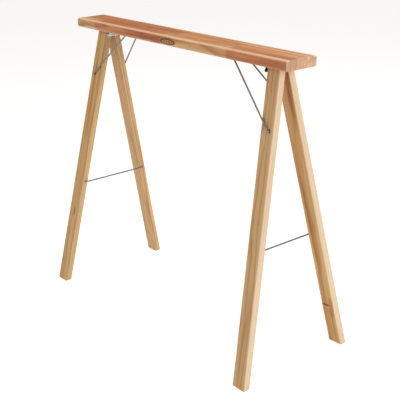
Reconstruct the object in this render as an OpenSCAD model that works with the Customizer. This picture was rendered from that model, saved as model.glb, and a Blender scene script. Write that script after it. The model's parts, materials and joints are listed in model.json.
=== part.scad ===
// Folding sawhorse. A narrow pine board stands on two pairs of splayed pine legs.
// Each pair hangs on a cranked steel hinge under the board and folds inwards against it.
// A U-shaped wire brace, hooked into the legs' outer faces, locks each pair open, and a
// steel tie rod keeps the two legs of a pair at their spread.
// +X runs along the board to its right-hand end, +Y across it, +Z up.
// The origin is on the floor at the centre of the stand's footprint box.

/* [Stand] */
// Height of the board's top face above the floor
stand_h = 760; // [600:5:920]
// Splay of each leg across the stand, from upright
splay = 12; // [8:0.5:15]
// Lean of each pair of legs towards its own end of the board
lean = 4.3; // [2:0.1:7]
// Distance of the right-hand pair from the board's end, at the top
right_inset = 44; // [30:1:90]
// Distance of the left-hand pair from the board's end, at the top
left_inset = 66; // [30:1:90]

/* [Top board] */
// Length of the board
board_l = 830; // [680:5:1100]
// Width of the board
board_w = 94; // [70:1:150]
// Thickness of the board
board_t = 24.5; // [18:1:35]
// Radius along the board's long edges
board_edge_r = 6; // [1:0.5:8]

/* [Legs] */
// Width of a leg's wide face
leg_w = 40; // [32:1:55]
// Thickness of a leg
leg_t = 18; // [16:1:26]
// Radius along a leg's edges
leg_edge_r = 1.5; // [0.5:0.5:3]
// Gap between the two legs of a pair, at the board
leg_top_gap = 1.6; // [0.8:0.2:6]
// Gap between the leg tops and the board
seat_gap = 0.4; // [0.3:0.1:1]

/* [Hinges] */
// Length of a hinge across the stand
hinge_w = 40; // [36:1:60]
// Thickness of the hinge plate
hinge_t = 1.6; // [1.2:0.1:2.5]
// Diameter of the hinge knuckles
knuckle_d = 8; // [7.5:0.5:10]
// Diameter of the hinge pin
pin_d = 4; // [3:0.5:5]
// Thickness of the heads on the hinge pin
pin_head_t = 1.5; // [1:0.25:3]
// Depth of the hinge pin below the board
hinge_drop = 13.5; // [13.5:0.5:24]
// Length of the hinge flange along the board
flange_l = 26; // [22:1:40]
// Height of the hinge plate on the legs above the pin
leaf_h = 12; // [11.5:0.5:20]
// Gap between neighbouring knuckles
knuckle_gap = 0.5; // [0.3:0.1:1]
// Gap between the knuckles and the legs
knuckle_stand = 2; // [0.5:0.25:3]
// Running clearance of the pin in the turning knuckle
pin_clear = 0.06; // [0.02:0.01:0.1]

/* [Wire braces] */
// Diameter of the brace wire and of the tie rods
wire_d = 4; // [3:0.5:5]
// Bend radius of the wire at its middle line
wire_bend_r = 3.5; // [3.5:0.5:6]
// Half the width of a brace at its crossbar
crossbar_half_w = 20; // [19:1:26]
// Distance of the crossbar from the hinge pin, right-hand brace
right_brace_reach = 109.5; // [80:0.5:140]
// Distance of the crossbar from the hinge pin, left-hand brace
left_brace_reach = 85.5; // [70:0.5:130]
// Distance of the brace holes down the legs from the hinge pin, right-hand legs
right_brace_drop = 130; // [100:1:160]
// Distance of the brace holes down the legs from the hinge pin, left-hand legs
left_brace_drop = 113; // [95:1:150]
// Distance of the brace holes from the legs' outboard edges
brace_hole_edge = 13; // [11:1:20]
// Length of a brace's hooked tip inside its leg
hook_l = 10; // [6:1:14]
// Clearance all round a hooked tip in its hole
hook_clear = 2; // [1:0.25:2.5]
// Clearance between a brace and the legs and board
brace_clear = 0.3; // [0.3:0.1:1]

/* [Brace saddles] */
// Thickness of the saddle strap
saddle_t = 1.2; // [1:0.1:2]
// Width of the saddle strap
saddle_w = 16; // [12:1:20]
// Length of each saddle ear
saddle_ear = 12; // [10:1:16]
// Running clearance of the crossbar in its saddle
saddle_clear = 0.08; // [0.02:0.01:0.1]

/* [Tie rods] */
// Distance of the tie rod holes down the legs from the hinge pin
tie_drop = 420; // [300:5:500]
// Depth of the tie rod's bent ends in the legs
tie_tip_l = 14; // [8:1:20]

/* [Screws] */
// Diameter of the screw shanks
screw_d = 3; // [2.5:0.5:3.5]
// Diameter of the countersunk heads
screw_head_d = 5.6; // [5:0.2:6]
// Length of the screws
screw_l = 16; // [12:1:18]

/* [Hidden] */
$fn = 48;
RIGHT = 1;
LEFT = -1;
CUT = 0.5;          // how far a cutting tool runs past a face
FAR = 4000;         // larger than the whole stand
LAP = 0.2;          // how far joined pieces of one solid run into each other
DRAWN = 0.03;       // wire thins by this much in its bends, as it does when it is bent
SHY = 0.04;         // a flat stops this far short of running tangent into a round

under_z = stand_h - board_t;
axis_z = under_z - hinge_drop;
knuckle_r = knuckle_d / 2;
pin_r = pin_d / 2;
wire_r = wire_d / 2;
hinge_off = knuckle_r + knuckle_stand;    // pin axis to the legs' inboard faces
leaf_low_z = knuckle_r + knuckle_gap;     // both leaves clear each other's knuckles
center_knuckle_l = hinge_w / 3;

// plan positions: the board's centre is set so that the footprint box is centred on X
foot_run = under_z * tan(lean);
right_reach = max(board_l / 2, board_l / 2 - right_inset + foot_run);
left_reach = max(board_l / 2, board_l / 2 - left_inset + foot_run);
board_x = (left_reach - right_reach) / 2;

function inset(side) = side == RIGHT ? right_inset : left_inset;
function brace_reach(side) = side == RIGHT ? right_brace_reach : left_brace_reach;
function brace_drop(side) = side == RIGHT ? right_brace_drop : left_brace_drop;
function axis_dist(side) =
    board_l / 2 - inset(side) - (hinge_off + leg_w) / cos(lean) + hinge_drop * tan(lean);

// a leg in its pair's own plane: z is measured along the plane from the hinge pin
leg_top_z = hinge_drop / cos(lean);
leg_spare = leg_t * tan(splay) + leg_w * tan(lean) + 4;
leg_len = stand_h / (cos(lean) * cos(splay)) + leg_spare;
function leg_inner_y(z) = leg_top_gap / 2 + (leg_top_z - z) * tan(splay);
function leg_outer_y(z) = leg_inner_y(z) + leg_t / cos(splay);
function leg_middle_y(z) = (leg_inner_y(z) + leg_outer_y(z)) / 2;

// wire brace, from its crossbar under the board to its holes in the legs
brace_hole_x = hinge_off + leg_w - brace_hole_edge;
crossbar_drop = wire_r + brace_clear;
function hole_x(side) = brace_hole_x * cos(lean) + brace_drop(side) * sin(lean);
function hole_z(side) = brace_hole_x * sin(lean) - brace_drop(side) * cos(lean);
function brace_dx(side) = brace_reach(side) + hole_x(side);
function brace_dz(side) = hinge_drop - crossbar_drop - hole_z(side);
function brace_len(side) = sqrt(pow(brace_dx(side), 2) + pow(brace_dz(side), 2));
function brace_angle(side) = atan2(brace_dz(side), brace_dx(side));
function brace_foot_y(side) = leg_outer_y(-brace_drop(side)) + wire_bend_r + brace_clear;
function brace_flare(side) =
    atan2(brace_foot_y(side) - crossbar_half_w, brace_len(side));
hook_hole_r = wire_r + hook_clear;

// screws
screw_r = screw_d / 2;
head_r = screw_head_d / 2;
head_h = hinge_t - 0.3;                   // a thin land is left under each head
cross_w = 0.6;
cross_depth = 0.7;
cross_l = screw_head_d * 0.6;
flange_screw_x = [hinge_off + flange_l * 0.28, hinge_off + flange_l * 0.76];
flange_screw_y = hinge_w * 0.3;
leaf_screw_y = [leg_middle_y(leaf_h) - leg_t * 0.2, leg_middle_y(leaf_h) + leg_t * 0.24];
leaf_screw_z = (leaf_low_z + leaf_h) / 2;
saddle_screw_x = wire_r + saddle_clear + saddle_t + saddle_ear * 0.55;

// ---- places ----

// at the hinge pin of one end, level, with +X pointing outboard
module at_hinge(side) {
    translate([board_x + side * axis_dist(side), 0, axis_z])
        mirror([side == LEFT ? 1 : 0, 0, 0])
            children();
}

// at the hinge pin of one end, in the leaning plane of its pair of legs
module at_pair(side) {
    at_hinge(side)
        rotate([0, -lean, 0])
            children();
}

// at the crossbar of one brace, with +X pointing down the brace to its hooks
module at_brace(side) {
    at_hinge(side)
        translate([-brace_reach(side), 0, hinge_drop - crossbar_drop])
            rotate([0, brace_angle(side), 0])
                children();
}

// the same shape on the front and on the back
module front_and_back() {
    children();
    mirror([0, 1, 0]) children();
}

// ---- common shapes ----

// a bar along +Z from z = 0, with round long edges
module rounded_bar(x_size, y_size, length, r) {
    linear_extrude(length) {
        translate([r, 0]) square([x_size - 2 * r, y_size]);
        translate([0, r]) square([x_size, y_size - 2 * r]);
        for (x = [r, x_size - r], y = [r, y_size - r])
            translate([x, y]) circle(r);
    }
}

// a round rod along +Y, centred
module cross_rod(r, length) {
    rotate([90, 0, 0]) cylinder(r = r, h = length, center = true);
}

// a bend in the wire, in the XY plane about the origin
module wire_bend(from_angle, sweep) {
    rotate([0, 0, from_angle])
        rotate_extrude(angle = sweep)
            translate([wire_bend_r, 0]) circle(wire_r - DRAWN);
}

// the outline of a countersunk screw, head up at z = 0 and point down
module screw_shape() {
    translate([0, 0, -head_h]) cylinder(r1 = screw_r, r2 = head_r, h = head_h);
    translate([0, 0, -screw_l]) cylinder(r = screw_r, h = screw_l - head_h);
}

module screw() {
    difference() {
        screw_shape();
        for (turn = [0, 90])
            rotate([0, 0, turn])
                translate([-cross_l / 2, -cross_w / 2, -cross_depth])
                    cube([cross_l, cross_w, cross_depth + CUT]);
    }
}

// ---- screw places ----

// heads look down, on the hinge flange under the board
module at_flange_screws(side) {
    for (x = flange_screw_x, y = [-flange_screw_y, flange_screw_y])
        at_hinge(side)
            translate([-x, y, hinge_drop - hinge_t]) rotate([180, 0, 0]) children();
}

// heads look inboard, on the hinge plate across the leg tops
module at_leaf_screws(side) {
    for (y = leaf_screw_y, front = [-1, 1])
        at_pair(side)
            translate([hinge_off - hinge_t, front * y, leaf_screw_z])
                rotate([0, -90, 0]) children();
}

// heads look down, on the ears of the saddle
module at_saddle_screws(side) {
    for (x = [-saddle_screw_x, saddle_screw_x])
        at_hinge(side)
            translate([x - brace_reach(side), 0, hinge_drop - saddle_t])
                rotate([180, 0, 0]) children();
}

// ---- timber ----

module top_board() {
    color("peru")
        difference() {
            translate([board_x - board_l / 2, -board_w / 2, stand_h])
                rotate([0, 90, 0])
                    rounded_bar(board_t, board_w, board_l, board_edge_r);
            for (side = [RIGHT, LEFT]) {
                at_flange_screws(side) screw_shape();
                at_saddle_screws(side) screw_shape();
            }
        }
}

// the back leg of a pair; the front leg is its mirror image
module leg_stick() {
    translate([hinge_off, leg_top_gap / 2, leg_top_z])
        rotate([splay, 0, 0])
            translate([0, 0, leg_spare - leg_len])
                rounded_bar(leg_w, leg_t, leg_len, leg_edge_r);
}

module brace_hole(side) {
    translate([brace_hole_x, leg_outer_y(-brace_drop(side)) + leg_t, -brace_drop(side)])
        rotate([90, 0, 0])
            cylinder(r = hook_hole_r, h = leg_t + hook_l + hook_clear + CUT);
}

module tie_hole() {
    translate([hinge_off - CUT, leg_middle_y(-tie_drop), -tie_drop])
        rotate([0, 90, 0]) cylinder(r = wire_r, h = tie_tip_l + CUT);
}

// front is 1 for the back leg and -1 for the front leg
module leg(side, front) {
    color("burlywood")
        difference() {
            intersection() {
                at_pair(side) mirror([0, front == 1 ? 0 : 1, 0]) leg_stick();
                translate([-FAR / 2, -FAR / 2, 0]) cube([FAR, FAR, under_z - seat_gap]);
            }
            at_pair(side) mirror([0, front == 1 ? 0 : 1, 0]) {
                brace_hole(side);
                tie_hole();
            }
            at_leaf_screws(side) screw_shape();
        }
}

// ---- hinges ----

// cranked leaf: two end knuckles, a web up to the board and a flange along it
module hinge_board_leaf(side) {
    end_l = (hinge_w - center_knuckle_l) / 2 - knuckle_gap;
    end_y = (hinge_w - end_l) / 2;
    color("silver")
        difference() {
            at_hinge(side) {
                front_and_back()
                    translate([0, end_y, 0]) {
                        cross_rod(knuckle_r, end_l);
                        translate([SHY - knuckle_r, -end_l / 2, 0])
                            cube([hinge_t, end_l, hinge_drop]);
                    }
                translate([SHY - knuckle_r, -hinge_w / 2, leaf_low_z])
                    cube([hinge_t, hinge_w, hinge_drop - leaf_low_z]);
                translate([-knuckle_r - flange_l, -hinge_w / 2, hinge_drop - hinge_t])
                    cube([flange_l + SHY + hinge_t, hinge_w, hinge_t]);
            }
            at_hinge(side) cross_rod(pin_r, hinge_w + 2 * CUT);
            at_flange_screws(side) screw_shape();
        }
}

// cranked leaf: the middle knuckle, a step and a plate up the inboard faces of both legs
module hinge_leg_leaf(side) {
    color("gainsboro")
        difference() {
            at_pair(side) {
                cross_rod(knuckle_r, center_knuckle_l);
                translate([0, -center_knuckle_l / 2, knuckle_r - SHY - hinge_t])
                    cube([hinge_off, center_knuckle_l, hinge_t]);
                translate([hinge_off - hinge_t, -center_knuckle_l / 2, knuckle_r - SHY - hinge_t])
                    cube([hinge_t, center_knuckle_l, leaf_h - knuckle_r + SHY + hinge_t]);
                translate([hinge_off - hinge_t, -hinge_w / 2, leaf_low_z])
                    cube([hinge_t, hinge_w, leaf_h - leaf_low_z]);
            }
            at_pair(side) cross_rod(pin_r + pin_clear, hinge_w);
            at_leaf_screws(side) screw_shape();
        }
}

// a rivet through all the knuckles, with a flat head at each end
module hinge_pin(side) {
    color("dimgray")
        at_hinge(side) {
            cross_rod(pin_r, hinge_w);
            front_and_back()
                translate([0, (hinge_w + pin_head_t) / 2, 0])
                    cross_rod(knuckle_r, pin_head_t);
        }
}

module hinge_board_screws(side) {
    color("darkgray") at_flange_screws(side) screw();
}

module hinge_leg_screws(side) {
    color("darkgray") at_leaf_screws(side) screw();
}

// ---- wire braces ----
// In the brace's own plane x runs from the crossbar to the hooks and y across it.

// middle line of an arm, and the centres of the bends at its two ends
function arm_y(side, x) = crossbar_half_w + x * tan(brace_flare(side));
function bend_y(side, x) = arm_y(side, x) - wire_bend_r / cos(brace_flare(side));

module brace_wire(side) {
    flare = brace_flare(side);
    top_y = bend_y(side, wire_bend_r);
    arm_l = (brace_len(side) - 2 * wire_bend_r) / cos(flare);
    color("gainsboro")
        at_brace(side) {
            cross_rod(wire_r, 2 * (top_y + LAP));
            front_and_back()
                translate([wire_bend_r, top_y, 0]) {
                    wire_bend(90 + flare, 90 - flare);
                    rotate([0, 0, flare])
                        translate([-LAP, wire_bend_r, 0])
                            rotate([0, 90, 0]) cylinder(r = wire_r, h = arm_l + LAP);
                }
        }
}

// the sprung ends of a brace: a bend and a tip that stands in its hole in the leg
module brace_hooks(side) {
    flare = brace_flare(side);
    foot_x = brace_len(side) - wire_bend_r;
    foot_y = bend_y(side, foot_x);
    tip_l = foot_y - leg_outer_y(-brace_drop(side)) + hook_l;
    color("gainsboro")
        at_brace(side)
            front_and_back()
                translate([foot_x, foot_y, 0]) {
                    wire_bend(0, 90 + flare);
                    translate([wire_bend_r, LAP, 0])
                        rotate([90, 0, 0]) cylinder(r = wire_r, h = tip_l + LAP);
                }
}

// a strap screwed under the board, with a round channel that the crossbar turns in
module brace_saddle(side) {
    bore_r = wire_r + saddle_clear;
    outer_r = bore_r + saddle_t;
    ear_end = outer_r + saddle_ear;
    color("silver")
        difference() {
            at_hinge(side)
                translate([-brace_reach(side), 0, hinge_drop]) {
                    translate([0, 0, -crossbar_drop]) cross_rod(outer_r, saddle_w);
                    translate([SHY - outer_r, -saddle_w / 2, -crossbar_drop])
                        cube([2 * (outer_r - SHY), saddle_w, crossbar_drop]);
                    translate([-ear_end, -saddle_w / 2, -saddle_t])
                        cube([2 * ear_end, saddle_w, saddle_t]);
                }
            at_hinge(side)
                translate([-brace_reach(side), 0, hinge_drop]) {
                    translate([0, 0, -crossbar_drop]) cross_rod(bore_r, saddle_w + 2 * CUT);
                    translate([-bore_r - SHY, -saddle_w / 2 - CUT, -crossbar_drop])
                        cube([2 * (bore_r + SHY), saddle_w + 2 * CUT, crossbar_drop + CUT]);
                    translate([-outer_r - CUT, -saddle_w / 2 - CUT, 0])
                        cube([2 * (outer_r + CUT), saddle_w + 2 * CUT, outer_r]);
                }
            at_saddle_screws(side) screw_shape();
        }
}

module saddle_screws(side) {
    color("darkgray") at_saddle_screws(side) screw();
}

// ---- tie rods ----

// a rod across the inboard faces of a pair, its ends bent into a hole in each leg
module tie_rod(side) {
    hole_y = leg_middle_y(-tie_drop);
    bend_start_y = hole_y - wire_bend_r;
    color("gainsboro")
        at_pair(side)
            translate([hinge_off - wire_bend_r, 0, -tie_drop]) {
                cross_rod(wire_r, 2 * (bend_start_y + LAP));
                front_and_back()
                    translate([wire_bend_r, bend_start_y, 0]) {
                        wire_bend(90, 90);
                        translate([-LAP, wire_bend_r, 0])
                            rotate([0, 90, 0]) cylinder(r = wire_r, h = LAP + tie_tip_l);
                    }
            }
}

top_board();
leg(RIGHT, -1);  // leg_front_right
leg(RIGHT, 1);  // leg_back_right
leg(LEFT, -1);  // leg_front_left
leg(LEFT, 1);  // leg_back_left
hinge_board_leaf(RIGHT);  // hinge_board_leaf_right
hinge_board_leaf(LEFT);  // hinge_board_leaf_left
hinge_leg_leaf(RIGHT);  // hinge_leg_leaf_right
hinge_leg_leaf(LEFT);  // hinge_leg_leaf_left
hinge_pin(RIGHT);  // hinge_pin_right
hinge_pin(LEFT);  // hinge_pin_left
hinge_board_screws(RIGHT);  // hinge_board_screws_right
hinge_board_screws(LEFT);  // hinge_board_screws_left
hinge_leg_screws(RIGHT);  // hinge_leg_screws_right
hinge_leg_screws(LEFT);  // hinge_leg_screws_left
brace_wire(RIGHT);  // brace_wire_right
brace_wire(LEFT);  // brace_wire_left
brace_hooks(RIGHT);  // brace_hooks_right
brace_hooks(LEFT);  // brace_hooks_left
brace_saddle(RIGHT);  // brace_saddle_right
brace_saddle(LEFT);  // brace_saddle_left
saddle_screws(RIGHT);  // saddle_screws_right
saddle_screws(LEFT);  // saddle_screws_left
tie_rod(RIGHT);  // tie_rod_right
tie_rod(LEFT);  // tie_rod_left
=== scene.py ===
import json
import math

import bmesh
import bpy
from mathutils import Matrix, Vector


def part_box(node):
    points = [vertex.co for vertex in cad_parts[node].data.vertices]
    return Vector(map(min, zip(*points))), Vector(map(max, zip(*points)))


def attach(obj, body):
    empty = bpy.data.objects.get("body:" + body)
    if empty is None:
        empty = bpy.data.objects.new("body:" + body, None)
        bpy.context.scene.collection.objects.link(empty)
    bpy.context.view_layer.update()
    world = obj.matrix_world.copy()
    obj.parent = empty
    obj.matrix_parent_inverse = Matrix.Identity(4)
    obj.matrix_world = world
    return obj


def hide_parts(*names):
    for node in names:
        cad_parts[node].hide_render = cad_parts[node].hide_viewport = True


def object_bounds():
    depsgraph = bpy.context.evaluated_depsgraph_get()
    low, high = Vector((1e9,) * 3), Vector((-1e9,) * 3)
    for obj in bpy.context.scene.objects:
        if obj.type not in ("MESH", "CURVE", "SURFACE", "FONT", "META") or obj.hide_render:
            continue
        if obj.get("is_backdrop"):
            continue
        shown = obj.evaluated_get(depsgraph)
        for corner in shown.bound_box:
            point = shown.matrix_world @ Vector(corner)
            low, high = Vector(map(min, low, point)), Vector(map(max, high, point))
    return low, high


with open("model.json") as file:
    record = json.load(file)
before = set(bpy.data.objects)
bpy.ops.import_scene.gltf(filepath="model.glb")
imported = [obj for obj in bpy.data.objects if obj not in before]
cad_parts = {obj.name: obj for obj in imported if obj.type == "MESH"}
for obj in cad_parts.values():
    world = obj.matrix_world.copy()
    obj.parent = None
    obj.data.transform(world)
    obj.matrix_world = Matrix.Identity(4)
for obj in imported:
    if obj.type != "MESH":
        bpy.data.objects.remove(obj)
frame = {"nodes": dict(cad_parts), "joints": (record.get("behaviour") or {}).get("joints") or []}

cad_low, cad_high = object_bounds()


# ---- Camera ----
# A long lens, far enough off that the board's edges stay nearly parallel. It stands to the
# right of the stand's front, above the board, and looks down its length.
CAMERA_AZIMUTH = 50.81  # degrees round from the front, towards the right-hand end
CAMERA_ELEVATION = 20.57
CAMERA_ROLL = -0.93
CAMERA_DISTANCE = 2.316  # metres from the point it looks at
CAMERA_LENS_MM = 78.59
CAMERA_SENSOR_MM = 36
CAMERA_AIM = Vector((0.0376, 0.0134, -0.0550))  # from the middle of the stand's box

camera = bpy.data.objects.new("camera", bpy.data.cameras.new("camera"))
bpy.context.scene.collection.objects.link(camera)
azimuth = math.radians(CAMERA_AZIMUTH)
elevation = math.radians(CAMERA_ELEVATION)
back = Vector((
    math.sin(azimuth) * math.cos(elevation),
    -math.cos(azimuth) * math.cos(elevation),
    math.sin(elevation),
))
level = Vector((math.cos(azimuth), math.sin(azimuth), 0))
turn = Matrix((level, back.cross(level), back)).transposed().to_4x4()
turn = turn @ Matrix.Rotation(math.radians(CAMERA_ROLL), 4, "Z")
eye = (cad_low + cad_high) / 2 + CAMERA_AIM + back * CAMERA_DISTANCE
camera.matrix_world = Matrix.Translation(eye) @ turn
camera.data.sensor_width = CAMERA_SENSOR_MM
camera.data.lens = CAMERA_LENS_MM
bpy.context.scene.camera = camera


# ---- Studio ----
# A back-lit white paper sweep and an even white surround. A large soft box stands low and
# far to the right, a smaller one to the front left throws soft shadows, one hangs overhead
# and a weak one fills the back.
bpy.context.scene.view_settings.view_transform = "Standard"


def linear(hex_colour):
    """An sRGB hex colour such as "#c8a070" as a linear RGBA."""
    out = []
    for i in (1, 3, 5):
        c = int(hex_colour[i:i + 2], 16) / 255
        out.append(c / 12.92 if c <= 0.04045 else ((c + 0.055) / 1.055) ** 2.4)
    return (*out, 1.0)


def node(tree, kind, at=None, out=0, inputs={}, **settings):
    """Adds a node: settings are its properties, inputs its values or the sockets that
    feed them, and at is a socket that its own output feeds."""
    made = tree.nodes.new(kind)
    for key, value in settings.items():
        setattr(made, key, value)
    for name, value in inputs.items():
        for each in value if isinstance(value, list) else [value]:
            if isinstance(each, bpy.types.NodeSocket):
                tree.links.new(each, made.inputs[name])
            else:
                made.inputs[name].default_value = each
    if at is not None:
        tree.links.new(made.outputs[out], at)
    return made


def new_material(name):
    """A material with a Principled shader: the material, its tree and the shader."""
    made = bpy.data.materials.new(name)
    made.use_nodes = True
    return made, made.node_tree, made.node_tree.nodes["Principled BSDF"]


# translucent white paper, matt, lit mostly from behind so that shadows on it stay faint
PAPER_FIBRE_MM = 3.0
PAPER_GLOW = 0.80
paper, tree, shader = new_material("white_background_paper")
shader.inputs["Roughness"].default_value = 0.95
shader.inputs["Emission Color"].default_value = linear("#fffefc")
shader.inputs["Emission Strength"].default_value = PAPER_GLOW
place = node(tree, "ShaderNodeTexCoord").outputs["Object"]
fibre = node(tree, "ShaderNodeTexNoise", inputs={
    "Vector": place, "Scale": 1000 / PAPER_FIBRE_MM, "Detail": 2.0})
node(tree, "ShaderNodeMix", at=shader.inputs["Base Color"], out=2, data_type="RGBA",
     inputs={0: fibre.outputs[0], 6: linear("#a3a3a2"), 7: linear("#acacab")})

SWEEP_RADIUS = 12.0
SWEEP_SIDES = 96
FLOOR_GAP = 0.0002  # the paper lies this far under the feet
floor_mesh = bpy.data.meshes.new("floor")
sweep = bmesh.new()
bmesh.ops.create_circle(sweep, cap_ends=True, radius=SWEEP_RADIUS, segments=SWEEP_SIDES)
sweep.to_mesh(floor_mesh)
sweep.free()
floor_mesh.transform(Matrix.Translation((0, 0, cad_low.z - FLOOR_GAP)))
floor_mesh.materials.append(paper)
floor = bpy.data.objects.new("floor", floor_mesh)
bpy.context.scene.collection.objects.link(floor)
floor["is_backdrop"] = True

SURROUND_STRENGTH = 0.28
world = bpy.data.worlds.new("studio_surround")
world.use_nodes = True
world.node_tree.nodes["Background"].inputs[0].default_value = linear("#fffaf2")
world.node_tree.nodes["Background"].inputs[1].default_value = SURROUND_STRENGTH
bpy.context.scene.world = world


def soft_box(name, from_azimuth, from_elevation, distance, size, watts, tint):
    """A square area light that faces the middle of the stand."""
    light = bpy.data.lights.new(name, "AREA")
    light.size = size
    light.energy = watts
    light.color = linear(tint)[:3]
    lamp = bpy.data.objects.new(name, light)
    bpy.context.scene.collection.objects.link(lamp)
    a, e = math.radians(from_azimuth), math.radians(from_elevation)
    out = Vector((math.sin(a) * math.cos(e), -math.cos(a) * math.cos(e), math.sin(e)))
    centre = (cad_low + cad_high) / 2
    facing = out.to_track_quat("Z", "Y").to_matrix().to_4x4()
    lamp.matrix_world = Matrix.Translation(centre + out * distance) @ facing


# degrees round and up from the front, metres away and across, watts, tint
soft_box("soft_box_right", 94, 20, 6.0, 3.0, 225, "#e4f0ff")
soft_box("soft_box_front_left", -42, 32, 2.8, 0.7, 13, "#fff3e4")
soft_box("soft_box_overhead", 90, 78, 2.6, 1.6, 32, "#fffaf2")
soft_box("soft_box_back", 200, 40, 3.2, 2.0, 12, "#ffffff")


# ---- Top board ----
# A planed and oiled pine board, glued up from three staves, each of them finger jointed end
# to end from shorter lengths. Colour changes at every joint. The long edges are rounded over.
board = frame["nodes"]["top_board"]
BOARD_LOW, BOARD_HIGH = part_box("top_board")
FINGER_DEPTH = 0.008  # how far the glued fingers reach into each other
FINGER_PITCH = 0.0085
# each stave: where it ends across the board, in metres, then its lengths: where each ends, as
# a share of the board's length from its left-hand end, and its colour
STAVES = (
    (-0.015, ((0.106, "#d6b27c"), (0.463, "#cc8a58"), (0.766, "#d8ac74"), (1.0, "#ca8350"))),
    (0.017, ((0.500, "#ca8550"), (0.657, "#dfa266"), (0.760, "#d6955a"), (1.0, "#dca062"))),
    (1.0, ((0.280, "#cd8856"), (0.500, "#ce8f56"), (0.740, "#d49660"), (1.0, "#e0b27c"))),
)

FIBRE_MM = 1.4  # across the grain
STREAK_MM = 14  # across a streak of heartwood
WANDER_MM = 100  # across one slow bend of the grain
BEND_PER_RING = 0.004  # sideways bend in metres, for each mm of ring width
RING_UNEVENNESS = 2.4  # rings wider or narrower than the mean, over a few rings
# along the grain everything changes slower than across it, by these factors
RING_DRIFT = 0.012
FIBRE_DRIFT = 0.02
STREAK_DRIFT = 0.05


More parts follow.
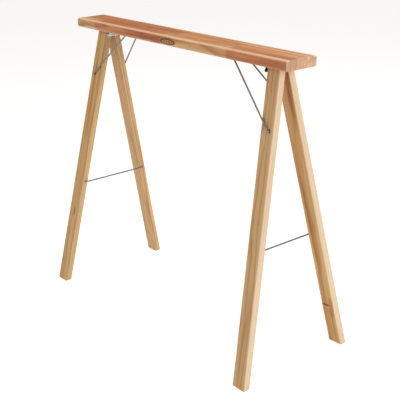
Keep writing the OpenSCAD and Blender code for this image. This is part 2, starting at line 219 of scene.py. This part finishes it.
def pine(name, early, late, heart, pith, ring_mm, along, origin, roughness, streaks, seed,
         marks=(), arris=None):
    """Planed pine. early is its colour, or a function that returns a colour's socket; late
    and heart tint it in the late wood of each ring and in streaks of heartwood. pith is
    where the tree's centre lies beside the piece, in mm, and ring_mm the rings' width."""
    made, tree, shader = new_material(name)
    place = node(tree, "ShaderNodeTexCoord").outputs["Object"]
    # the piece's own directions: X across, Y through, Z along the grain
    axes = along.transposed()
    local = node(tree, "ShaderNodeMapping", inputs={
        "Vector": place, "Location": axes @ (Vector(origin) * -1),
        "Rotation": axes.to_euler("XYZ")}).outputs[0]
    # slow wander of the grain along the length
    wander = node(tree, "ShaderNodeMapping", inputs={
        "Vector": local, "Scale": (1.5, 1.5, 0.35)})
    wobble = node(tree, "ShaderNodeTexNoise", noise_dimensions="4D", inputs={
        "Vector": wander.outputs[0], "W": seed, "Scale": 1000 / WANDER_MM,
        "Detail": 3.0})
    centred = node(tree, "ShaderNodeVectorMath", operation="SUBTRACT", inputs={
        0: wobble.outputs["Color"], 1: (0.5, 0.5, 0.5)})
    bend = node(tree, "ShaderNodeVectorMath", operation="SCALE", inputs={
        0: centred.outputs[0], "Scale": ring_mm * BEND_PER_RING})
    bent = node(tree, "ShaderNodeVectorMath", operation="ADD", inputs={
        0: local, 1: bend.outputs[0]}).outputs[0]
    # rings round the pith, uneven in width
    flat = node(tree, "ShaderNodeMapping", inputs={
        "Vector": bent, "Location": (-pith[0] / 1000, -pith[1] / 1000, 0),
        "Scale": (1, 1, RING_DRIFT)})
    radius = node(tree, "ShaderNodeVectorMath", operation="LENGTH", inputs={
        0: flat.outputs[0]})
    count = node(tree, "ShaderNodeMath", operation="MULTIPLY", inputs={
        0: radius.outputs["Value"], 1: 1000 / ring_mm})
    uneven = node(tree, "ShaderNodeTexNoise", noise_dimensions="1D", inputs={
        "W": count.outputs[0], "Scale": 0.35, "Detail": 1.0})
    uneven_count = node(tree, "ShaderNodeMath", operation="MULTIPLY_ADD", inputs={
        0: uneven.outputs[0], 1: RING_UNEVENNESS, 2: count.outputs[0]})
    phase = node(tree, "ShaderNodeMath", operation="FRACT", inputs={
        0: uneven_count.outputs[0]})
    # early wood darkens slowly to late wood, then drops sharply back
    ring = node(tree, "ShaderNodeValToRGB", inputs={0: phase.outputs[0]})
    stops = ring.color_ramp.elements
    stops[0].color = (0.25, 0.25, 0.25, 1)
    stops[1].color = (0.3, 0.3, 0.3, 1)
    for position, value in ((0.12, 0.0), (0.55, 0.12), (0.82, 0.75), (0.93, 1.0)):
        stops.new(position).color = (value, value, value, 1)
    # fine fibre, and broad streaks of heartwood
    fibre_place = node(tree, "ShaderNodeMapping", inputs={
        "Vector": bent, "Scale": (1, 1, FIBRE_DRIFT)})
    fibre = node(tree, "ShaderNodeTexNoise", noise_dimensions="4D", inputs={
        "Vector": fibre_place.outputs[0], "W": seed + 7, "Scale": 1000 / FIBRE_MM,
        "Detail": 4.0, "Roughness": 0.65})
    broad_place = node(tree, "ShaderNodeMapping", inputs={
        "Vector": bent, "Scale": (1, 1, STREAK_DRIFT)})
    broad = node(tree, "ShaderNodeTexNoise", noise_dimensions="4D", inputs={
        "Vector": broad_place.outputs[0], "W": seed + 3, "Scale": 1000 / STREAK_MM,
        "Detail": 3.0})
    heart_amount = node(tree, "ShaderNodeMapRange", inputs={
        "Value": broad.outputs[0], "From Min": 0.52 - 0.12 * streaks,
        "From Max": 0.74 - 0.10 * streaks, "To Max": 0.95})
    fibre_gain = node(tree, "ShaderNodeMapRange", inputs={
        "Value": fibre.outputs[0], "From Min": 0.25, "From Max": 0.7, "To Min": 0.55})
    ring_amount = node(tree, "ShaderNodeMath", operation="MULTIPLY", inputs={
        0: ring.outputs[0], 1: fibre_gain.outputs[0]})
    fleck = node(tree, "ShaderNodeMapRange", inputs={
        "Value": fibre.outputs[0], "From Min": 0.3, "From Max": 0.72})
    colour = early(tree, place) if callable(early) else linear(early)
    for amount, tint in ((heart_amount, linear(heart)), (ring_amount, linear(late)),
                         (fleck, linear("#f3f1ee"))):
        colour = node(tree, "ShaderNodeMix", data_type="RGBA", blend_type="MULTIPLY",
                      inputs={0: amount.outputs[0], 6: colour, 7: tint}).outputs[2]
    # knots and stains, and painted highlights: each is an ellipsoid in the piece's own
    # directions
    for at, size, tone, strength, edge in marks:
        offset = node(tree, "ShaderNodeMapping", inputs={
            "Vector": local, "Location": tuple(-c / s for c, s in zip(at, size)),
            "Scale": tuple(1 / s for s in size)})
        reach = node(tree, "ShaderNodeVectorMath", operation="LENGTH", inputs={
            0: offset.outputs[0]})
        amount = node(tree, "ShaderNodeMapRange", interpolation_type="SMOOTHSTEP", inputs={
            "Value": reach.outputs["Value"], "From Min": 1.0, "From Max": edge,
            "To Min": 0.0, "To Max": strength})
        colour = node(tree, "ShaderNodeMix", data_type="RGBA", inputs={
            0: amount.outputs[0], 6: colour, 7: linear(tone)}).outputs[2]
    if arris:
        colour = arris(tree, place, colour, fibre.outputs[0])
    tree.links.new(colour, shader.inputs["Base Color"])
    node(tree, "ShaderNodeMapRange", at=shader.inputs["Roughness"], inputs={
        "Value": ring_amount.outputs[0], "To Min": roughness, "To Max": roughness - 0.1})
    node(tree, "ShaderNodeBump", at=shader.inputs["Normal"], inputs={
        "Strength": 0.25, "Distance": 0.0003, "Height": ring_amount.outputs[0]})
    return made


def board_lengths(tree, place):
    """The colour of each finger jointed length of each stave."""
    apart = node(tree, "ShaderNodeSeparateXYZ", inputs={0: place})
    zigzag = node(tree, "ShaderNodeMath", operation="PINGPONG", inputs={
        0: apart.outputs["Z"], 1: FINGER_PITCH / 2})
    shifted = node(tree, "ShaderNodeMath", operation="MULTIPLY_ADD", inputs={
        0: zigzag.outputs[0], 1: FINGER_DEPTH / (FINGER_PITCH / 2), 2: apart.outputs["X"]})
    along = node(tree, "ShaderNodeMapRange", inputs={
        "Value": shifted.outputs[0], "From Min": BOARD_LOW.x, "From Max": BOARD_HIGH.x})
    colour = None
    edge = None
    for stave_end, lengths in STAVES:
        ramp = node(tree, "ShaderNodeValToRGB", inputs={0: along.outputs[0]})
        ramp.color_ramp.interpolation = "CONSTANT"
        stops = ramp.color_ramp.elements
        stops[0].color = linear(lengths[0][1])
        stops[1].position = lengths[0][0]
        stops[1].color = linear(lengths[1][1])
        for (start, _), (_, tone) in zip(lengths[1:-1], lengths[2:]):
            stops.new(start).color = linear(tone)
        if colour is None:
            colour = ramp.outputs[0]
        else:
            past = node(tree, "ShaderNodeMath", operation="GREATER_THAN", inputs={
                0: apart.outputs["Y"], 1: edge})
            colour = node(tree, "ShaderNodeMix", data_type="RGBA", inputs={
                0: past.outputs[0], 6: colour, 7: ramp.outputs[0]}).outputs[2]
        edge = stave_end
    return colour


# the painted highlight starts and is full this far from the long edge and from the top, m
ARRIS_HIGHLIGHT_ACROSS = (0.013, 0.007)
ARRIS_HIGHLIGHT_DOWN = (0.0042, 0.0008)


def painted_arris_highlight(tree, place, colour, fibre):
    """Painted highlight: the upper long edges painted paler, where they catch the light."""
    apart = node(tree, "ShaderNodeSeparateXYZ", inputs={0: place})
    side = node(tree, "ShaderNodeMath", operation="ABSOLUTE", inputs={0: apart.outputs["Y"]})
    out = node(tree, "ShaderNodeMapRange", interpolation_type="SMOOTHSTEP", inputs={
        "Value": side.outputs[0], "From Min": BOARD_HIGH.y - ARRIS_HIGHLIGHT_ACROSS[0],
        "From Max": BOARD_HIGH.y - ARRIS_HIGHLIGHT_ACROSS[1]})
    up = node(tree, "ShaderNodeMapRange", interpolation_type="SMOOTHSTEP", inputs={
        "Value": apart.outputs["Z"], "From Min": BOARD_HIGH.z - ARRIS_HIGHLIGHT_DOWN[0],
        "From Max": BOARD_HIGH.z - ARRIS_HIGHLIGHT_DOWN[1]})
    both = node(tree, "ShaderNodeMath", operation="MULTIPLY", inputs={
        0: out.outputs[0], 1: up.outputs[0]})
    highlight_break = node(tree, "ShaderNodeMapRange", inputs={
        "Value": fibre, "From Min": 0.2, "From Max": 0.7, "To Min": 0.45, "To Max": 0.85})
    amount = node(tree, "ShaderNodeMath", operation="MULTIPLY", inputs={
        0: both.outputs[0], 1: highlight_break.outputs[0]})
    # the pale colour of the painted highlight, broken up by the fibre
    return node(tree, "ShaderNodeMix", data_type="RGBA", inputs={
        0: amount.outputs[0], 6: colour, 7: linear("#f0d0ac")}).outputs[2]


# the board's grain runs along X: across is Y, through is Z
BOARD_AXES = Matrix(((0, 0, 1), (1, 0, 0), (0, 1, 0)))
board_middle = (BOARD_LOW + BOARD_HIGH) / 2
HALF_WIDTH = (BOARD_HIGH.y - BOARD_LOW.y) / 2
HALF_LENGTH = (BOARD_HIGH.x - BOARD_LOW.x) / 2
# marks are placed across, through and along: a spike knot on the front face, a small knot
# in the top face, and the end grain, painted greyer and paler as a painted sheen of light
# planed pine, oiled, which darkens it towards orange and gives it a low sheen
board_pine = pine(
    "planed_oiled_pine_finger_jointed", board_lengths, "#cfa274", "#dba472",
    pith=(-170, 14), ring_mm=7.0, along=BOARD_AXES, origin=board_middle,
    roughness=0.46, streaks=0.55, seed=2.0,
    marks=(
        ((-HALF_WIDTH, -0.001, -0.001), (0.010, 0.0082, 0.033), "#4a2512", 0.97, 0.85),
        ((-HALF_WIDTH, -0.0015, -0.001), (0.010, 0.0056, 0.026), "#b27a50", 0.95, 0.80),
        ((-HALF_WIDTH, -0.0015, 0.006), (0.010, 0.0052, 0.0034), "#3f2010", 0.95, 0.40),
        ((-HALF_WIDTH, -0.0015, -0.004), (0.010, 0.0050, 0.0024), "#4f2a16", 0.90, 0.40),
        ((-HALF_WIDTH, -0.0015, -0.014), (0.010, 0.0046, 0.0026), "#4f2a16", 0.90, 0.40),
        ((-HALF_WIDTH, -0.0015, 0.016), (0.010, 0.0036, 0.0028), "#4f2a16", 0.85, 0.40),
        ((0.002, 0.012, 0.205), (0.005, 0.008, 0.010), "#8a5230", 0.85, 0.50),
        # painted sheen: both end-grain faces greyed and paled like the light-washed right-hand
        # end
        ((0, 0, HALF_LENGTH), (0.200, 0.100, 0.0008), "#b0a28c", 0.40, 0.50),
        ((0, 0, -HALF_LENGTH), (0.200, 0.100, 0.0008), "#b0a28c", 0.40, 0.50),
    ),
    arris=painted_arris_highlight)
board.data.materials.clear()
board.data.materials.append(board_pine)


# ---- Legs ----
# Four planed pine sticks, bare, cut level at both ends. Each comes from its own board, so
# colour and rings differ from leg to leg. Two holes are drilled in each, one for its brace.
SPLAY = math.radians(12)
LEAN = math.radians(4.3)
# early, late and heart wood, pith, ring width, streaks, seed
LEG_PINE = {
    "leg_front_right": ("#d1ab77", "#dab48a", "#ecd0aa", (-60, 130), 6.0, 0.15, 11.0),
    "leg_back_right": ("#d5ae70", "#d0a468", "#e0b67c", (10, -40), 6.5, 0.9, 23.0),
    "leg_front_left": ("#ceaa72", "#d4aa7c", "#e6c69c", (56, 120), 6.0, 0.3, 37.0),
    "leg_back_left": ("#d3af7b", "#d4aa7c", "#deb888", (-48, -95), 6.0, 0.4, 41.0),
}
# marks on each leg, measured across, through and along the stick from its middle
LEG_MARKS = {
    "leg_front_right": [
        # painted highlight: the right-hand face painted paler, where the light from the right
        # falls
        ((0.020, 0.000, 0.000), (0.005, 0.030, 0.600), "#e8d2b6", 0.45, 0.50),
        ((0.006, -0.009, 0.020), (0.004, 0.010, 0.011), "#a87c50", 0.45, 0.30),
        ((-0.008, -0.009, -0.150), (0.005, 0.010, 0.010), "#b48a5c", 0.40, 0.30)],
    "leg_back_right": [
        # painted highlight: the right-hand face painted paler, where the light from the right
        # falls
        ((0.020, 0.000, 0.000), (0.005, 0.030, 0.600), "#e2cbaa", 0.60, 0.50),
        ((-0.007, -0.009, -0.262), (0.0150, 0.005, 0.0034), "#5c2f1a", 1.00, 0.70),
        ((0.007, -0.009, -0.322), (0.0016, 0.005, 0.062), "#8a4f2c", 0.80, 0.40)],
    "leg_front_left": [
        ((0.004, -0.009, -0.160), (0.0035, 0.010, 0.017), "#5c3620", 0.90, 0.50)],
    "leg_back_left": [
        ((0.008, -0.009, 0.270), (0.012, 0.010, 0.020), "#c8b070", 0.60, 0.30),
        ((-0.004, -0.009, 0.235), (0.003, 0.010, 0.004), "#8c5c38", 0.70, 0.40)],
}
for name, (early, late, heart, pith, ring_mm, streaks, seed) in LEG_PINE.items():
    side = 1 if "right" in name else -1
    depth = 1 if "back" in name else -1
    stick = (Matrix.Rotation(-side * LEAN, 3, "Y") @ Matrix.Rotation(depth * SPLAY, 3, "X"))
    low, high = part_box(name)
    # planed pine, bare and dull
    leg_pine = pine("planed_bare_pine_" + name, early, late, heart, pith, ring_mm, stick,
                    origin=(low + high) / 2, roughness=0.55, streaks=streaks, seed=seed,
                    marks=LEG_MARKS[name])
    leg = frame["nodes"][name]
    leg.data.materials.clear()
    leg.data.materials.append(leg_pine)


# ---- Hinge leaves and saddles ----
# Pressed from mild steel sheet, bent cold and zinc plated: a dull pale grey with a faint
# mottle where the plating's crystals catch the light.
def finished_steel(name, dark, light, rough_low, rough_high, grain_mm):
    """Steel whose finish varies in colour and roughness over a fine mottle."""
    made, tree, shader = new_material(name)
    shader.inputs["Metallic"].default_value = 1.0
    place = node(tree, "ShaderNodeTexCoord").outputs["Object"]
    mottle = node(tree, "ShaderNodeTexNoise", inputs={
        "Vector": place, "Scale": 1000 / grain_mm, "Detail": 3.0})
    node(tree, "ShaderNodeMix", at=shader.inputs["Base Color"], out=2, data_type="RGBA",
         inputs={0: mottle.outputs[0], 6: linear(dark), 7: linear(light)})
    node(tree, "ShaderNodeMapRange", at=shader.inputs["Roughness"], inputs={
        "Value": mottle.outputs[0], "To Min": rough_low, "To Max": rough_high})
    return made


# mild steel sheet under dull zinc
pressed_steel = finished_steel("zinc_plated_pressed_mild_steel", "#b4b6b8", "#d2d4d5",
                               0.30, 0.46, 2.5)
for kind in ("hinge_board_leaf", "hinge_leg_leaf", "brace_saddle"):
    for end in ("right", "left"):
        leaf = frame["nodes"][kind + "_" + end]
        leaf.data.materials.clear()
        leaf.data.materials.append(pressed_steel)


# ---- Hinge pins ----
# Steel rivets, their heads formed against the outer knuckles. The right one is a soft
# near-black, browner in a fine mottle; the left one is plated.
dark_pin_steel = finished_steel("near_black_pin_finish", "#141414", "#26231f",
                                 0.42, 0.58, 1.5)
for end, finish in (("right", dark_pin_steel), ("left", pressed_steel)):
    pin = frame["nodes"]["hinge_pin_" + end]
    pin.data.materials.clear()
    pin.data.materials.append(finish)


# ---- Screws ----
# Countersunk cross-recess wood screws, cold headed and zinc plated: four through each
# hinge flange, four into the legs through each leg leaf, two through each saddle.
SCREW_SIZES = {"Shank Radius": 0.0015, "Head Radius": 0.0028, "Head Height": 0.0013,
               "Length": 0.016, "Recess Length": 0.0034, "Recess Width": 0.0006,
               "Recess Depth": 0.0007}
SCREW_SIDES = 24
SHANK_START = 0.0004  # the shank begins this far below the head's face
NECK_WIDENING = 1.05


def new_group(name, sockets):
    """An empty Geometry Nodes tree with named inputs: the tree, its input and output."""
    tree = bpy.data.node_groups.new(name, "GeometryNodeTree")
    tree.interface.new_socket("Geometry", in_out="INPUT", socket_type="NodeSocketGeometry")
    tree.interface.new_socket("Geometry", in_out="OUTPUT", socket_type="NodeSocketGeometry")
    for socket, kind in sockets.items():
        tree.interface.new_socket(socket, in_out="INPUT", socket_type=kind)
    return tree, node(tree, "NodeGroupInput"), node(tree, "NodeGroupOutput")


def grown(name, tree, points, edges, values):
    """Runs a tree on points and edges and returns the result as a plain mesh object."""
    seed_mesh = bpy.data.meshes.new(name)
    seed_mesh.from_pydata(points, edges, [])
    made = bpy.data.objects.new(name, seed_mesh)
    bpy.context.scene.collection.objects.link(made)
    modifier = made.modifiers.new("grown", "NODES")
    modifier.node_group = tree
    for item in tree.interface.items_tree:
        if item.in_out == "INPUT" and item.name in values:
            modifier[item.identifier] = values[item.name]
    depsgraph = bpy.context.evaluated_depsgraph_get()
    mesh = bpy.data.meshes.new_from_object(made.evaluated_get(depsgraph))
    made.modifiers.remove(modifier)
    made.data = mesh
    return made


def screw_tree():
    """A screw on every point, head outwards along Facing, each turned its own way."""
    kinds = {size: "NodeSocketFloat" for size in SCREW_SIZES}
    tree, given, result = new_group("cross_recess_screws", {
        **kinds, "Facing": "NodeSocketVector", "Seed": "NodeSocketInt",
        "Material": "NodeSocketMaterial"})
    size = given.outputs
    half_recess = node(tree, "ShaderNodeMath", operation="MULTIPLY", inputs={
        0: size["Recess Depth"], 1: 2.0})
    # the head's narrow end is a little wider than the shank, so that the two join cleanly
    neck = node(tree, "ShaderNodeMath", operation="MULTIPLY", inputs={
        0: size["Shank Radius"], 1: NECK_WIDENING})
    head = node(tree, "GeometryNodeMeshCone", inputs={
        "Vertices": SCREW_SIDES, "Radius Top": size["Head Radius"],
        "Radius Bottom": neck.outputs[0], "Depth": size["Head Height"]})
    # the cone stands on the origin, so it is let down until its top is level with it
    drop = node(tree, "ShaderNodeMath", operation="MULTIPLY", inputs={
        0: size["Head Height"], 1: -1.0})
    down = node(tree, "ShaderNodeCombineXYZ", inputs={"Z": drop.outputs[0]})
    head_down = node(tree, "GeometryNodeTransform", inputs={
        "Geometry": head.outputs["Mesh"], "Translation": down.outputs[0]})
    shank = node(tree, "GeometryNodeMeshCylinder", inputs={
        "Vertices": SCREW_SIDES, "Radius": size["Shank Radius"], "Depth": size["Length"]})
    shank_drop = node(tree, "ShaderNodeMath", operation="MULTIPLY_ADD", inputs={
        0: size["Length"], 1: -0.5, 2: -SHANK_START})
    shank_place = node(tree, "ShaderNodeCombineXYZ", inputs={"Z": shank_drop.outputs[0]})
    shank_down = node(tree, "GeometryNodeTransform", inputs={
        "Geometry": shank.outputs["Mesh"], "Translation": shank_place.outputs[0]})
    whole = node(tree, "GeometryNodeMeshBoolean", operation="UNION", solver="EXACT",
                 inputs={"Mesh 2": [head_down.outputs[0], shank_down.outputs[0]]})
    slots = []
    for a, b in (("Recess Length", "Recess Width"), ("Recess Width", "Recess Length")):
        box_size = node(tree, "ShaderNodeCombineXYZ", inputs={
            "X": size[a], "Y": size[b], "Z": half_recess.outputs[0]})
        slots.append(node(tree, "GeometryNodeMeshCube", inputs={
            "Size": box_size.outputs[0]}).outputs["Mesh"])
    cut = node(tree, "GeometryNodeMeshBoolean", operation="DIFFERENCE", solver="EXACT",
               inputs={"Mesh 1": whole.outputs[0], "Mesh 2": slots})
    outwards = node(tree, "FunctionNodeAlignRotationToVector", axis="Z", inputs={
        "Vector": size["Facing"]})
    turn = node(tree, "FunctionNodeRandomValue", data_type="FLOAT", inputs={
        2: 0.0, 3: math.pi / 2, "Seed": size["Seed"]})
    spin = node(tree, "FunctionNodeAxisAngleToRotation", inputs={
        "Axis": (0, 0, 1), "Angle": turn.outputs[1]})
    rotation = node(tree, "FunctionNodeRotateRotation", rotation_space="LOCAL", inputs={
        "Rotation": outwards.outputs[0], "Rotate By": spin.outputs[0]})
    placed = node(tree, "GeometryNodeInstanceOnPoints", inputs={
        "Points": size["Geometry"], "Instance": cut.outputs[0],
        "Rotation": rotation.outputs[0]})
    real = node(tree, "GeometryNodeRealizeInstances", inputs={0: placed.outputs[0]})
    node(tree, "GeometryNodeSetMaterial", at=result.inputs[0], inputs={
        "Geometry": real.outputs[0], "Material": size["Material"]})
    return tree


MERGE_DISTANCE = 1e-6
RIM_DEPTH = 1e-5  # corners this close below a head's face belong to its rim


def head_centres(node_name, facing):
    """The middle of each screw's head in a CAD node, whose screws all face one way."""
    cad = bmesh.new()
    cad.from_mesh(frame["nodes"][node_name].data)
    bmesh.ops.remove_doubles(cad, verts=cad.verts, dist=MERGE_DISTANCE)
    waiting = set(cad.verts)
    centres = []
    while waiting:
        island = [waiting.pop()]
        for vert in island:
            for edge in vert.link_edges:
                other = edge.other_vert(vert)
                if other in waiting:
                    waiting.remove(other)
                    island.append(other)
        top = max(v.co.dot(facing) for v in island)
        rim = [v.co for v in island if v.co.dot(facing) > top - RIM_DEPTH]
        low = Vector([min(c[i] for c in rim) for i in range(3)])
        high = Vector([max(c[i] for c in rim) for i in range(3)])
        centres.append((low + high) / 2)
    cad.free()
    return sorted(centres, key=lambda c: (round(c.x, 5), round(c.y, 5)))


# carbon steel under thin zinc
screw_steel = finished_steel("zinc_plated_screw_steel", "#8f9192", "#b4b6b7", 0.28, 0.42, 1.0)
screws = screw_tree()
DOWN = Vector((0, 0, -1))
SCREW_SETS = {
    "board_screws": ("board", DOWN, (
        "hinge_board_screws_right", "hinge_board_screws_left",
        "saddle_screws_right", "saddle_screws_left")),
    "leg_leaf_screws_right": (
        "right_legs", Vector((-math.cos(LEAN), 0, -math.sin(LEAN))),
        ("hinge_leg_screws_right",)),
    "leg_leaf_screws_left": (
        "left_legs", Vector((math.cos(LEAN), 0, -math.sin(LEAN))),
        ("hinge_leg_screws_left",)),
}
for seed, (name, (body, facing, nodes)) in enumerate(SCREW_SETS.items()):
    heads = [c for cad_node in nodes for c in head_centres(cad_node, facing)]
    piece = grown(name, screws, heads, [], {
        **SCREW_SIZES, "Facing": facing, "Seed": seed, "Material": screw_steel})
    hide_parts(*nodes)
    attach(piece, body)


# ---- Wire braces and tie rods ----
# Mild steel wire, drawn, zinc plated and bent cold round a small former. A brace is a long
# U: its crossbar turns under the board and its two tips hook into holes in the legs. A tie
# rod is a short staple whose ends are driven into the legs.
WIRE_RADIUS = 0.002
WIRE_BEND_RADIUS = 0.0035
WIRE_SIDES = 20
BEND_STEPS = 10
BRACE_HALF_WIDTH = 0.020
BRACE_TIP = 0.0138  # from a foot's corner to the end of its tip
BEND_THINNING = 0.00003  # wire thins this much where it is bent
TIE_ROD_TIP = 0.0175  # from a rod's corner to its end inside the leg


def bent_wire_tree():
    """A round wire along a path of straight lines, its corners bent to a radius."""
    tree, given, result = new_group("bent_wire", {
        "Wire Radius": "NodeSocketFloat", "Bend Radius": "NodeSocketFloat",
        "Sides": "NodeSocketInt", "Material": "NodeSocketMaterial"})
    size = given.outputs
    path = node(tree, "GeometryNodeMeshToCurve", inputs={0: size["Geometry"]})
    bent = node(tree, "GeometryNodeFilletCurve", mode="POLY", inputs={
        "Curve": path.outputs[0], "Count": BEND_STEPS, "Radius": size["Bend Radius"]})
    section = node(tree, "GeometryNodeCurvePrimitiveCircle", inputs={
        "Resolution": size["Sides"], "Radius": size["Wire Radius"]})
    wire = node(tree, "GeometryNodeCurveToMesh", inputs={
        "Curve": bent.outputs[0], "Profile Curve": section.outputs["Curve"],
        "Fill Caps": True})
    real = node(tree, "GeometryNodeRealizeInstances", inputs={0: wire.outputs[0]})
    node(tree, "GeometryNodeSetMaterial", at=result.inputs[0], inputs={
        "Geometry": real.outputs[0], "Material": size["Material"]})
    return tree


# drawn mild steel wire under zinc that has gone grey
wire_steel = finished_steel("zinc_plated_drawn_wire", "#75777a", "#929496", 0.30, 0.44, 2.0)
bent_wires = bent_wire_tree()


def bent_wire(name, corners, body, *nodes):
    """A wire through these corners, in place of CAD nodes."""
    edges = [(i, i + 1) for i in range(len(corners) - 1)]
    piece = grown(name, bent_wires, corners, edges, {
        "Wire Radius": WIRE_RADIUS, "Bend Radius": WIRE_BEND_RADIUS, "Sides": WIRE_SIDES,
        "Material": wire_steel})
    # the round sides are smooth, the cut ends flat
    for face in piece.data.polygons:
        face.use_smooth = len(face.vertices) == 4
    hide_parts(*nodes)
    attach(piece, body)


for end, side in (("right", 1), ("left", -1)):
    joint = [j for j in frame["joints"] if j["name"] == end + "_brace_swing"][0]
    crossbar = Vector(joint["pos_m"])
    low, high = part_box("brace_hooks_" + end)
    foot_x = (high.x if side == 1 else low.x) - side * WIRE_RADIUS
    foot_z = low.z + WIRE_RADIUS
    bend_y = high.y - WIRE_BEND_RADIUS - WIRE_RADIUS + BEND_THINNING
    arm = math.hypot(foot_x - crossbar.x, foot_z - crossbar.z)
    flare = math.atan2(bend_y + WIRE_BEND_RADIUS - BRACE_HALF_WIDTH, arm)
    foot_y = bend_y + WIRE_BEND_RADIUS * math.tan((math.pi / 2 + flare) / 2)
    half = [(foot_x, foot_y - BRACE_TIP, foot_z), (foot_x, foot_y, foot_z),
            (crossbar.x, BRACE_HALF_WIDTH, crossbar.z)]
    corners = half + [(x, -y, z) for x, y, z in reversed(half)]
    bent_wire("wire_brace_" + end, corners, end + "_brace",
              "brace_wire_" + end, "brace_hooks_" + end)

    low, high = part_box("tie_rod_" + end)
    rod_x = (low.x if side == 1 else high.x) + side * WIRE_RADIUS
    rod_z = low.z + WIRE_RADIUS
    rod_y = high.y - WIRE_RADIUS
    tip_x = rod_x + side * TIE_ROD_TIP * math.cos(LEAN)
    tip_z = rod_z + TIE_ROD_TIP * math.sin(LEAN)
    half = [(tip_x, rod_y, tip_z), (rod_x, rod_y, rod_z)]
    corners = half + [(x, -y, z) for x, y, z in reversed(half)]
    bent_wire("bent_tie_rod_" + end, corners, end + "_legs", "tie_rod_" + end)


low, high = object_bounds()
